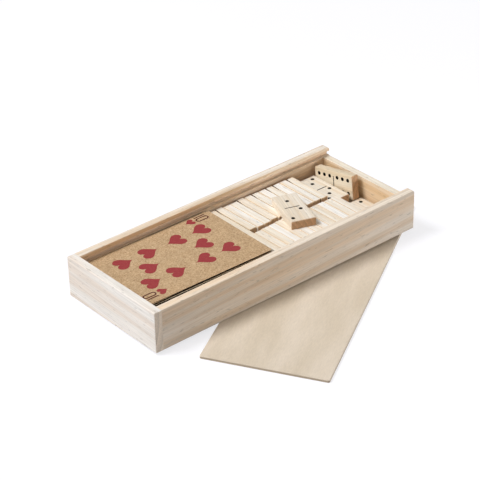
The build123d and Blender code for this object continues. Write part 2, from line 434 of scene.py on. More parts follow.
@dataclass(frozen=True)
class Plywood(Finish):
    """Thin three-ply board with a sanded face veneer.

    The face is an even tan with cloudy patches and fine pores along the grain; the edge shows a
    darker core between two pale veneers.
    """

    relief: ClassVar[tuple[float, float]] = (0.3, 0.05)
    frame: Matrix = field(default_factory=Matrix)
    face: str = "DDD0BF"
    cloud: str = "D1C3AF"
    core: str = "AE9B84"
    thickness: float = 1.9
    stretch: float = 4.0  # of the whole pattern, along the grain
    core_edge: tuple[float, float] = (0.14, 0.24)  # shares of the thickness where the core ends

    def surface(self, tree: NodeTree) -> tuple[dict[str, Any], NodeSocket]:
        """Builds the veneer's clouds and pores, and the plies of the edge.

        Args:
            tree: the material's tree.

        Returns:
            The shader's inputs, and the pattern that stands up in low relief.
        """
        point, normal = surface_coords(tree, self.frame, (self.stretch * MM, MM, MM))
        clouds = grain(tree, point, 0.045, 3.0, 0.55)
        # pores are 0.1 mm wide; drawn about 0.6 mm wide so that they show
        pores = grain(tree, point, 1.6, 2.0, 0.6)
        split = add(tree, "ShaderNodeSeparateXYZ", {"Vector": point})
        height = add(tree, "ShaderNodeMath", {0: split.outputs["Z"]}, operation="ABSOLUTE")
        low, high = (self.thickness * share for share in self.core_edge)
        patch, core, pore_shade = (
            add(
                tree, "ShaderNodeMapRange", dict(zip(RANGE, row)), interpolation_type=ramp
            ).outputs["Result"]
            for ramp, *row in (
                ("SMOOTHSTEP", clouds, 0.35, 0.65, 0.0, 1.0),
                ("LINEAR", height.outputs[0], low, high, 0.9, 0.3),
                ("LINEAR", pores, 0.3, 0.75, 1.03, 0.92),
            )
        )
        edge = facing(tree, normal, self.frame.to_3x3().col[2], 0.8, 0.3)
        edge_core = add(tree, "ShaderNodeMath", {0: edge, 1: core}, operation="MULTIPLY")
        plied: Any = linear(self.face)
        for factor, coat in ((patch, self.cloud), (edge_core.outputs[0], self.core)):
            inputs = {"Factor": factor, 6: plied, 7: linear(coat)}
            plied = add(tree, "ShaderNodeMix", inputs, data_type="RGBA").outputs[2]
        inputs = {0: plied, "Scale": pore_shade}
        shaded = add(tree, "ShaderNodeVectorMath", inputs, operation="SCALE")
        inputs = {"Base Color": shaded.outputs[0], "Roughness": 0.68, "Specular IOR Level": 0.25}
        return inputs, pores


@dataclass(frozen=True)
class KraftBoard(Finish):
    """Uncoated brown card made from recycled pulp.

    Pale and dark fibres and small shives fleck the face; the cut edge is a deep brown, darkened
    nearly to black as painted shade. A cream line at the rim of the card that sticks out is a
    painted highlight, palest towards -x.
    """

    relief: ClassVar[tuple[float, float]] = (0.25, 0.03)
    frame: Matrix = field(default_factory=Matrix)
    base: str = "B3936F"
    pale: str = "DABF9B"
    dark: str = "8C6B49"
    # the cut edge: deep brown of the card, darkened nearly to black as painted shade
    edge: str = "160B03"
    # the cream of the rim of the card that sticks out: a painted highlight
    rim_highlight: str = "FFF4DA"
    rim_highlight_band: tuple[float, float] = (7.47, 0.1)  # height of the painted highlight on the rim, and half its height
    rim_highlight_reach: tuple[float, float] = (-44.0, 36.0)  # where the painted highlight is palest and darkest
    rim_highlight_share: tuple[float, float] = (0.8, 0.05)  # how pale the painted highlight is there

    def surface(self, tree: NodeTree) -> tuple[dict[str, Any], NodeSocket]:
        """Builds the pulp's flecks, and the brown of the cut edge.

        Args:
            tree: the material's tree.

        Returns:
            The shader's inputs, and the pattern that stands up in low relief.
        """
        point, normal = surface_coords(tree, self.frame)
        # pulp fibres are 0.05 mm across; the flecks are drawn about 0.8 mm across
        flecks = grain(tree, point, 1.3, 3.0, 0.7)
        clouds = grain(tree, point, 0.14, 2.0)
        shives = grain(tree, point, 0.9, 1.0)
        split = add(tree, "ShaderNodeSeparateXYZ", {"Vector": point})
        light, dim, shade, rim_highlight_fade = (
            add(tree, "ShaderNodeMapRange", dict(zip(RANGE, row))).outputs["Result"]
            for row in (
                (flecks, 0.4, 0.7, 0.0, 1.0),
                (shives, 0.6, 0.72, 0.0, 0.7),
                (clouds, 0.3, 0.7, 0.93, 1.04),
                (split.outputs["X"], *self.rim_highlight_reach, *self.rim_highlight_share),
            )
        )
        side = facing(tree, normal, self.frame.to_3x3().col[2], 0.7, 0.3)
        # the painted highlight: a band at the height of the rim, fading along x
        inputs = {0: split.outputs["Z"], 1: self.rim_highlight_band[0], 2: self.rim_highlight_band[1]}
        level = add(tree, "ShaderNodeMath", inputs, operation="COMPARE").outputs[0]
        rim_highlit = add(tree, "ShaderNodeMath", {0: level, 1: rim_highlight_fade}, operation="MULTIPLY").outputs[0]
        # the cut edge's near black is partly painted shade, and the cream rim a painted highlight
        coats = ((light, self.pale), (dim, self.dark), (side, self.edge), (rim_highlit, self.rim_highlight))
        pulp: Any = linear(self.base)
        for factor, coat in coats:
            inputs = {"Factor": factor, 6: pulp, 7: linear(coat)}
            pulp = add(tree, "ShaderNodeMix", inputs, data_type="RGBA").outputs[2]
        shaded = add(tree, "ShaderNodeVectorMath", {0: pulp, "Scale": shade}, operation="SCALE")
        inputs = {"Base Color": shaded.outputs[0], "Roughness": 0.82, "Specular IOR Level": 0.2}
        return inputs, flecks


@dataclass(frozen=True)
class PrintedInk(Finish):
    """Matt ink soaked into wood or board, so it is thinner where the fibres stand proud."""

    relief: ClassVar[tuple[float, float]] = (0.2, 0.02)
    colour: str = "A5353F"
    thin: str = "B5525A"
    spot: float = 0.9  # size of the thin spots
    rough: float = 0.7
    gloss: float = 0.2  # specular level

    def surface(self, tree: NodeTree) -> tuple[dict[str, Any], NodeSocket]:
        """Builds the thin spots of the ink.

        Args:
            tree: the material's tree.

        Returns:
            The shader's inputs, and the pattern that stands up in low relief.
        """
        point, _ = surface_coords(tree, Matrix(), (self.spot * MM,) * 3)
        spots = grain(tree, point, 1.0, 3.0, 0.7)
        inputs = {"Value": spots, "From Min": 0.45, "From Max": 0.75}
        thin = add(tree, "ShaderNodeMapRange", inputs).outputs["Result"]
        inputs = {"Factor": thin, 6: linear(self.colour), 7: linear(self.thin)}
        ink = add(tree, "ShaderNodeMix", inputs, data_type="RGBA").outputs[2]
        return {"Base Color": ink, "Roughness": self.rough, "Specular IOR Level": self.gloss}, spots


# --- where things are -------------------------------------------------------------------------


@dataclass(frozen=True)
class TrayFrame:
    """The tray's own directions and the middle of its underside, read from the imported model."""

    matrix: Matrix
    panel_thickness: ClassVar[float] = 2.5

    @classmethod
    def from_model(cls, frame: dict) -> TrayFrame:
        """Finds the tray's frame from the card pack's lift and the bottom panel's box.


        Returns:
            The tray's frame.
        """
        lift = next(j for j in frame["joints"] if j["child"] == "card_deck")
        up = Vector(lift["axis"]).normalized()
        along = Vector((up.z, 0, -up.x)).normalized()
        back = up.cross(along)
        origin = middle("bottom_panel") - up * cls.panel_thickness / 2 * MM
        turn = Matrix((along, back, up)).transposed().to_4x4()
        return cls(Matrix.Translation(origin) @ turn)

    def point(self, x: float, y: float, z: float) -> Vector:
        """The world place, in metres, of a point given in the tray's millimetres."""
        return self.matrix @ (Vector((x, y, z)) * MM)

    def turned(self, turn: Matrix, centre: Vector) -> Matrix:
        """A frame with the tray's directions turned, and its origin at a world point.

        Args:
            turn: rotation in the tray's own directions.
            centre: the new origin, in metres.

        Returns:
            The new frame.
        """
        return Matrix.Translation(centre) @ (self.matrix.to_3x3() @ turn.to_3x3()).to_4x4()


def middle(node: str) -> Vector:
    """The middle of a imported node's box, in metres."""
    low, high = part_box(node)
    return (low + high) / 2


def spin(x: float = 0, y: float = 0, z: float = 0) -> Matrix:
    """A turn about z, then y, then x of the turned part, in degrees."""
    turn = Matrix.Rotation(math.radians(z), 4, "Z") @ Matrix.Rotation(math.radians(y), 4, "Y")
    return turn @ Matrix.Rotation(math.radians(x), 4, "X")


# --- meshes and geometry trees ----------------------------------------------------------------


def dress(node: Object, material: Material) -> None:
    """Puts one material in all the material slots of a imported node."""
    for slot in node.material_slots:
        slot.material = material


def point_mesh(name: str, points: Sequence, edges: Iterable = (), faces: Iterable = ()) -> Mesh:
    """A mesh of bare points, or of points joined by edges or faces.

    Args:
        name: the mesh's name.
        points: where the points are.
        edges: pairs of point numbers.
        faces: rings of point numbers.

    Returns:
        The new mesh.
    """
    mesh = bpy.data.meshes.new(name)
    mesh.from_pydata(list(points), list(edges), list(faces))
    return mesh


def plate_mesh(name: str, outline: Sequence[tuple[float, float]], thickness: float) -> Mesh:
    """A flat closed plate of any outline, its underside at height 0.

    Args:
        name: the mesh's name.
        outline: corners in order, anticlockwise seen from above, in metres.
        thickness: in metres.

    Returns:
        The new mesh.
    """
    shape = bmesh.new()
    rim = [shape.verts.new((x, y, 0)) for x, y in outline]
    base = shape.faces.new(rim)
    grown = bmesh.ops.extrude_face_region(shape, geom=[base])
    lifted = [v for v in grown["geom"] if isinstance(v, bmesh.types.BMVert)]
    bmesh.ops.translate(shape, verts=lifted, vec=(0, 0, thickness))
    bmesh.ops.recalc_face_normals(shape, faces=shape.faces)
    mesh = bpy.data.meshes.new(name)
    shape.to_mesh(mesh)
    shape.free()
    return mesh


def new_tree(name: str, inputs: dict[str, tuple[str, float]]) -> tuple[NodeTree, Node]:
    """Starts a geometry tree with named inputs.

    Args:
        name: the tree's name.
        inputs: input name to its socket type and first value.

    Returns:
        The tree, and its group input node.
    """
    tree = bpy.data.node_groups.new(name, "GeometryNodeTree")
    tree.interface.new_socket("Geometry", in_out="INPUT", socket_type="NodeSocketGeometry")
    for key, (kind, value) in inputs.items():
        socket = tree.interface.new_socket(key, in_out="INPUT", socket_type=kind)
        socket.default_value = value
    tree.interface.new_socket("Geometry", in_out="OUTPUT", socket_type="NodeSocketGeometry")
    return tree, add(tree, "NodeGroupInput")


def finish_tree(tree: NodeTree, geometry: NodeSocket, material: Material) -> None:
    """Ends a geometry tree in real meshes that wear one material.

    Args:
        tree: the geometry tree.
        geometry: the socket of what it made.
        material: what the meshes wear.
    """
    real = add(tree, "GeometryNodeRealizeInstances", {"Geometry": geometry})
    inputs = {"Geometry": real.outputs["Geometry"], "Material": material}
    worn = add(tree, "GeometryNodeSetMaterial", inputs)
    add(tree, "NodeGroupOutput", {"Geometry": worn.outputs["Geometry"]})


def grow(mesh: Mesh, tree: NodeTree, values: dict[str, float], place: Matrix) -> Object:
    """Runs a geometry tree on a mesh and keeps the result as a plain object.

    Args:
        mesh: what the tree starts from.
        tree: the geometry tree.
        values: named inputs of the tree.
        place: where the result goes.

    Returns:
        An object at the origin whose mesh is the tree's result.
    """
    seedling = stand(mesh.name + "_seed", mesh)
    modifier = seedling.modifiers.new("Nodes", "NODES")
    modifier.node_group = tree
    sockets = {s.name: s.identifier for s in tree.interface.items_tree if s.in_out == "INPUT"}
    for key, value in values.items():
        modifier[sockets[key]] = value
    bpy.context.view_layer.update()
    graph = bpy.context.evaluated_depsgraph_get()
    result = bpy.data.meshes.new_from_object(seedling.evaluated_get(graph))
    seedling.modifiers.remove(modifier)
    bpy.data.objects.remove(seedling)
    result.name = mesh.name
    result.transform(place)
    return stand(mesh.name, result)


# --- the tray and the lid ---------------------------------------------------------------------


@dataclass(frozen=True)
class Board:
    """One pine board of the tray: which way it runs and what its wood is like."""

    node: str
    crosswise: bool
    # which side gets the warmer tint of painted shade
    warm_shade_side: int
    pale: str
    band: str
    blush: str
    seed: float
    # darker tint of the other side: painted shade
    outer_shade: str = WHITE

    def finish(self, frame: TrayFrame) -> SandedPine:
        """The board's own cut of pine.

        Args:
            frame: the tray's frame.

        Returns:
            The finish, with the grain along the board.
        """
        turn = spin(z=90 * self.crosswise) @ spin(x=90)
        return SandedPine(
            f"sanded_pine_{self.node}",
            frame.turned(turn, middle(self.node)),
            pale=self.pale,
            band=self.band,
            blush=self.blush,
            warm_shade_side=self.warm_shade_side,
            outer_shade=self.outer_shade,
            seed=self.seed,
            pith=(9.0, -38.0) if self.crosswise else (14.0, -46.0),
        )


@dataclass
class Tray:
    """The open pine tray: four walls, a divider and a plywood bottom."""

    frame: TrayFrame
    nodes: dict[str, Object]
    boards: tuple[Board, ...] = (
        # painted shade: each wall's inner side tinted warmer, and the front wall's outer side
        # darker
        Board("front_wall", False, -1, "F3E7D8", "DCCBB7", "FCF0E2", 0.4, "E9E7E5"),
        Board("back_wall", False, 1, "F8EFE4", "DFCBB2", "EFE4D6", 2.7),
        Board("left_end_wall", True, 1, "EEE9E3", "E8DFD6", "F7F0EA", 5.1),
        Board("right_end_wall", True, -1, "F6EFE2", "DFCDB1", "EFE4D2", 6.8),
        Board("divider", True, 0, "FCF6EC", "EEE0C8", "F8F1E7", 8.5),
    )

    def dress(self) -> None:
        """Gives each board its own cut of pine, and the bottom panel its veneer."""
        for board in self.boards:
            dress(self.nodes[board.node], board.finish(self.frame).make())
        place = self.frame.turned(Matrix(), middle("bottom_panel"))
        veneer = Plywood("plywood_bottom", place, thickness=self.frame.panel_thickness)
        dress(self.nodes["bottom_panel"], veneer.make())


@dataclass
class Lid:
    """The sliding lid, lying flat."""

    nodes: dict[str, Object]
    travel: Sequence[float]  # the direction it slides in

    def dress(self) -> None:
        """Gives the lid its veneer, with the grain along its length."""
        angle = math.atan2(self.travel[1], self.travel[0])
        place = Matrix.Translation(middle("lid")) @ Matrix.Rotation(angle, 4, "Z")
        dress(self.nodes["lid"], Plywood("plywood_lid", place).make())


# --- the cards --------------------------------------------------------------------------------


@dataclass
class Cards:
    """The pack, and the ten of hearts printed on the top card."""

    frame: TrayFrame
    nodes: dict[str, Object]
    turn: float = -1.2  # degrees, of the top card
    print_turn: float = 0.4  # of the print on it
    thickness: float = 0.3
    print_lift: float = 0.02
    print_thickness: float = 0.02
    print_shift: tuple[float, float] = (-0.05, 1.5)
    heart_length: float = 12.0
    heart_width: float = 11.3
    flank: float = 3.9  # above 3 for straighter flanks than the plain curve's
    row_x: tuple[float, float] = (26.4, 8.95)
    column_y: float = 13.0
    centre_x: float = 17.75
    small_heart: tuple[float, float] = (27.5, 23.4)
    small_share: float = 0.53
    figure_x: float = 36.05
    nought_y: float = 22.3
    one_y: float = 25.4
    nought: tuple[float, float] = (8.7, 3.7)
    one: float = 8.4
    stroke: float = 0.8

    def card_place(self) -> Matrix:
        """Finds the top card's upper face.

        Returns:
            Its frame, x along the card and z out of the face.
        """
        rise = Vector((*self.print_shift, self.thickness / 2 + self.print_lift))
        lift = self.frame.matrix.to_3x3() @ rise * MM
        return self.frame.turned(spin(z=self.turn + self.print_turn), middle("top_card") + lift)

    def heart_outline(self, steps: int = 20) -> list[tuple[float, float]]:
        """A heart with its point towards -x and its lobes towards +x, in metres.

        Args:
            steps: corners on each half.

        Returns:
            The outline, anticlockwise seen from above.
        """
        half = []
        for step in range(steps + 1):  # the usual heart curve, but for its flanks
            t = math.pi * step / steps
            across = math.sin(t) ** (3 if t < math.pi / 2 else self.flank)
            along = 13 * math.cos(t) - 5 * math.cos(2 * t) - 2 * math.cos(3 * t) - math.cos(4 * t)
            half.append((along, across))
        low, high = min(a for a, _ in half), max(a for a, _ in half)
        long_scale = self.heart_length * MM / (high - low)
        wide_scale = self.heart_width * MM / 2
        right = [((a - (low + high) / 2) * long_scale, c * wide_scale) for a, c in half]
        left = [(a, -c) for a, c in reversed(right[1:-1])]
        return right + left

    def heart_tree(self, heart: Object, ink: Material) -> NodeTree:
        """A tree that stamps a heart on each point, turned and sized by the point's attributes.

        Args:
            heart: the heart to stamp.
            ink: its material.

        Returns:
            The geometry tree.
        """
        tree, given = new_tree("heart_stamp", {"Size": ("NodeSocketFloat", 1.0)})
        shape = add(tree, "GeometryNodeObjectInfo", {"Object": heart})
        turn, size = (
            add(tree, "GeometryNodeInputNamedAttribute", {"Name": name}, data_type="FLOAT")
            for name in ("turn", "size")
        )
        angles = add(tree, "ShaderNodeCombineXYZ", {"Z": turn.outputs["Attribute"]})
        inputs = {0: size.outputs["Attribute"], 1: given.outputs["Size"]}
        scale = add(tree, "ShaderNodeMath", inputs, operation="MULTIPLY").outputs[0]
        scales = add(tree, "ShaderNodeCombineXYZ", {"X": scale, "Y": scale, "Z": 1.0})
        inputs = {"Points": given.outputs["Geometry"], "Instance": shape.outputs["Geometry"]}
        inputs |= {"Rotation": angles.outputs[0], "Scale": scales.outputs[0]}
        stamped = add(tree, "GeometryNodeInstanceOnPoints", inputs)
        finish_tree(tree, stamped.outputs["Instances"], ink)
        return tree

    def hearts(self, ink: Material) -> Object:
        """Prints the ten large hearts and the two small ones.

        Args:
            ink: their material.

        Returns:
            The hearts as one piece of print.
        """
        spots = [(x, side * self.column_y, 1.0) for x in self.row_x for side in (-1, 1)]
        spots += [(self.centre_x, 0.0, 1.0), (*self.small_heart, self.small_share)]
        points, turns, sizes = [], [], []
        for end in (1, -1):
            for x, y, size in spots:
                points.append(Vector((end * x, end * y, 0)) * MM)
                turns.append(0.0 if end > 0 else math.pi)
                sizes.append(size)
        mesh = point_mesh("heart_print", points)
        for name, values in (("turn", turns), ("size", sizes)):
            mesh.attributes.new(name, "FLOAT", "POINT").data.foreach_set("value", values)
        plate = plate_mesh("heart", self.heart_outline(), self.print_thickness * MM)
        stamp = stand("heart", plate)
        printed = grow(mesh, self.heart_tree(stamp, ink), {"Size": 1.0}, self.card_place())
        bpy.data.objects.remove(stamp)
        return printed

    def figure_tree(self, ink: Material) -> NodeTree:
        """A tree that lays a flat stroke of ink along a path.

        Args:
            ink: the material of the stroke.

        Returns:
            The geometry tree.
        """
        sizes = {"Width": ("NodeSocketFloat", MM), "Thickness": ("NodeSocketFloat", MM)}
        tree, given = new_tree("figure_stroke", sizes)
        path = add(tree, "GeometryNodeMeshToCurve", {"Mesh": given.outputs["Geometry"]})
        inputs = {"Width": given.outputs["Width"], "Height": given.outputs["Thickness"]}
        nib = add(tree, "GeometryNodeCurvePrimitiveQuadrilateral", inputs)
        inputs = {"Curve": path.outputs["Curve"], "Profile Curve": nib.outputs["Curve"]}
        drawn = add(tree, "GeometryNodeCurveToMesh", {**inputs, "Fill Caps": True})
        finish_tree(tree, drawn.outputs["Mesh"], ink)
        return tree

    def loop(self, length: float, width: float, steps: int = 8) -> list[Vector]:
        """A closed round-ended path, long in x.

        Args:
            length: end to end.
            width: side to side.
            steps: corners on each round end.

        Returns:
            Its points, in millimetres.
        """
        radius = width / 2
        straight = length / 2 - radius
        points = []
        for end in (1, -1):
            for step in range(steps + 1):
                angle = math.pi * (step / steps - 0.5)
                x, y = straight + radius * math.cos(angle), radius * math.sin(angle)
                points.append(Vector((x, y, 0)) * end)
        return points

    def figures(self, ink: Material) -> Object:
        """Prints the outlined number ten at two corners, read from each end of the card.

        Args:
            ink: its material.

        Returns:
            The figures as one piece of print.
        """
        stroke = self.stroke
        nought = self.loop(self.nought[0] - stroke, self.nought[1] - stroke)
        half = (self.one - stroke) / 2
        one = [Vector((-half, 0, 0)), Vector((half, 0, 0))]
        points: list[Vector] = []
        edges: list[tuple[int, int]] = []
        for end in (1, -1):
            for path, y, closed in ((nought, self.nought_y, True), (one, self.one_y, False)):
                first = len(points)
                points += [(p + Vector((self.figure_x, y, 0))) * end * MM for p in path]
                edges += [(first + i, first + i + 1) for i in range(len(path) - 1)]
                if closed:
                    edges.append((first + len(path) - 1, first))
        mesh = point_mesh("figure_print", points, edges)
        values = {"Width": stroke * MM, "Thickness": self.print_thickness * MM}
        return grow(mesh, self.figure_tree(ink), values, self.card_place())

    def build(self) -> list[Object]:
        """Dresses the cards and prints the top one.

        Returns:
            The pieces of print.
        """
        place = self.frame.turned(Matrix(), middle("card_deck"))
        board = KraftBoard("kraft_board", place).make()
        for name in ("card_deck", "top_card"):
            dress(self.nodes[name], board)
        ink = PrintedInk("red_ink_on_kraft", "94363A", "A24846").make()
        outline_ink = PrintedInk("dark_red_ink_on_kraft", "4A1714", "5C2420").make()
        pieces = [self.hearts(ink), self.figures(outline_ink)]
        for piece in pieces:
            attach(piece, "top_card")
        return pieces


# --- the dominoes -----------------------------------------------------------------------------

SEAT_TONES_AND_SHADE = {  # pale wood and growth bands of those that lie or lean, some toned down as painted shade
    # painted shade: toned darker for its tilt to the light
    Seat.LOOSE: ("EFE6D9", "DECDB3"),
    Seat.PROPPED: ("EADFCB", "D9C5A6"),
    # painted shadow: toned darker for the back wall's shadow on the stack
    Seat.LYING: ("F6EEE1", "E6D4BA"),
}
ROW_TONES = (  # and of those on edge, taken in turn
    ("FCF8F2", "F3E9DA"),
    ("FAF4EA", "EFE3D0"),
    ("FDFAF6", "F5EEE3"),
    ("FAF4EA", "F0E4D0"),
)
LIT_END_TONES = {Seat.ON_EDGE: "EED0AE"}  # cut ends; those on edge toned lighter as painted light against the shade between the rows
EDGE_SHADES = {Seat.ON_EDGE: "E9DAC4", Seat.LYING: "F2E4CF"}  # narrow flats along the edges, tinted darker: painted shade in the grooves between neighbours
SEATS = {  # the others stand on edge in the two rows
    "domino_5_6": Seat.LYING,
    "domino_3_3": Seat.LYING,
    "domino_4_5": Seat.LYING,
    "domino_1_2": Seat.LOOSE,
    "domino_6_6": Seat.PROPPED,
}
OFF_PRINT = {  # how far the print sits off the middle, across and along
    "domino_3_3": (-0.4, 0.5),
    "domino_4_5": (-0.4, -0.2),
    "domino_1_2": (-0.9, 0.3),
    "domino_6_6": (0.2, 0.0),
}


@dataclass
class Domino:
    """One domino: its wood, its pressed pips and its middle line."""

    frame: TrayFrame
    node: Object
    body: str
    far: int
    near: int
    seat: Seat
    number: int
    half_middle: float = 7.5
    thickness: float = 5.2
    across: float = 4.1
    along: float = 4.4
    loose_turn: float = -20.0
    propped_turn: float = 2.4
    propped_tip: float = 3.8
    propped_drop: float = 9.095
    shadowed_seams: tuple[float, ...] = (4.5, 20.7, 31.0, 42.0, 47.8, 58.3)  # x along the back row of the open seams whose shadow is painted
    seam_reach: float = 1.6  # how near a domino's side has to be to one of them
    drift_step: float = 1.1  # degrees by which the grain of neighbours differs
    seed_step: float = 0.83  # and by which their cuts differ

    def place(self) -> Matrix:
        """Finds how the domino lies.

        Returns:
            Its own frame, y along it and z out of its face.
        """
        propped = spin(z=self.propped_turn, y=self.propped_tip, x=-self.propped_drop)
        turns = {
            Seat.ON_EDGE: spin(y=90),
            Seat.LYING: Matrix(),
            Seat.LOOSE: spin(z=self.loose_turn),
            Seat.PROPPED: propped @ spin(y=-90),
        }
        return self.frame.turned(turns[self.seat], middle(self.node.name))

    def seam_shadow_sides(self) -> tuple[float, float]:
        """Finds the seams beside its back end that get a painted shadow.

        Returns:
            1 for a seam with a painted shadow and 0 for one without, to its left and to its right.
        """
        at = self.frame.matrix.inverted() @ middle(self.node.name) / MM
        if self.seat is not Seat.ON_EDGE or at.y < 0:
            return (0.0, 0.0)
        left, right = (
            float(any(abs(side - seam_shadow) < self.seam_reach for seam_shadow in self.shadowed_seams))
            for side in (at.x - self.thickness / 2, at.x + self.thickness / 2)
        )
        return (left, right)

    def spots(self) -> list[Vector]:
        """Lays out the pips of both halves.

        Returns:
            The middle of each pip on the face, in millimetres.
        """
        a, b = self.across, self.along
        dot = [(0, 0)]
        slant = [(-a, -b), (a, b)]
        square = slant + [(-a, b), (a, -b)]
        sides = [(-a, 0), (a, 0)]
        layouts = ([], dot, slant, slant + dot, square, square + dot, square + sides)
        return [
            Vector((x, y + side * self.half_middle, self.thickness / 2))
            for count, side in ((self.far, 1), (self.near, -1))
            for x, y in layouts[count]
        ]

    def dress(self) -> None:
        """Gives the domino its own cut of pine, the grain along its length."""
        place = self.place() @ Matrix.Rotation(math.pi / 2, 4, "Z")
        pale, band = SEAT_TONES_AND_SHADE.get(self.seat, ROW_TONES[self.number * 7 % len(ROW_TONES)])
        # the steps only spread the cuts along and around the trunk, so that neighbours differ
        finish = SandedPine(
            f"sanded_pine_{self.node.name}",
            place,
            pale=pale,
            band=band,
            end=LIT_END_TONES.get(self.seat, "CCA47E"),
            blush="F8F1E7",
            edge=EDGE_SHADES.get(self.seat, WHITE),
            shadowed_seams=self.seam_shadow_sides(),
            ring=3.1,
            ring_share=0.6,
            pith=(5.0 + self.number % 5 * 4, -22.0 + self.number % 3 * 6),
            drift=(self.number % 7 - 3) * self.drift_step,
            seed=self.number * self.seed_step,
        )
        dress(self.node, finish.make())

    def print_face(self, tree: NodeTree, values: dict[str, float]) -> Object:
        """Fills the pips and the line with black ink.

        Args:
            tree: the pip and line tree.
            values: its named inputs.

        Returns:
            The piece of print.
        """
        points = [p * MM for p in self.spots()] or [Vector((0, 0, 0))]
        mesh = point_mesh(f"{self.node.name}_print", points)
        chosen = dict(values, Pips=1.0 if self.far + self.near else 0.0)
        off = Vector((*OFF_PRINT.get(self.node.name, (0, 0)), 0)) * MM
        piece = grow(mesh, tree, chosen, self.place() @ Matrix.Translation(off))
        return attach(piece, self.body)


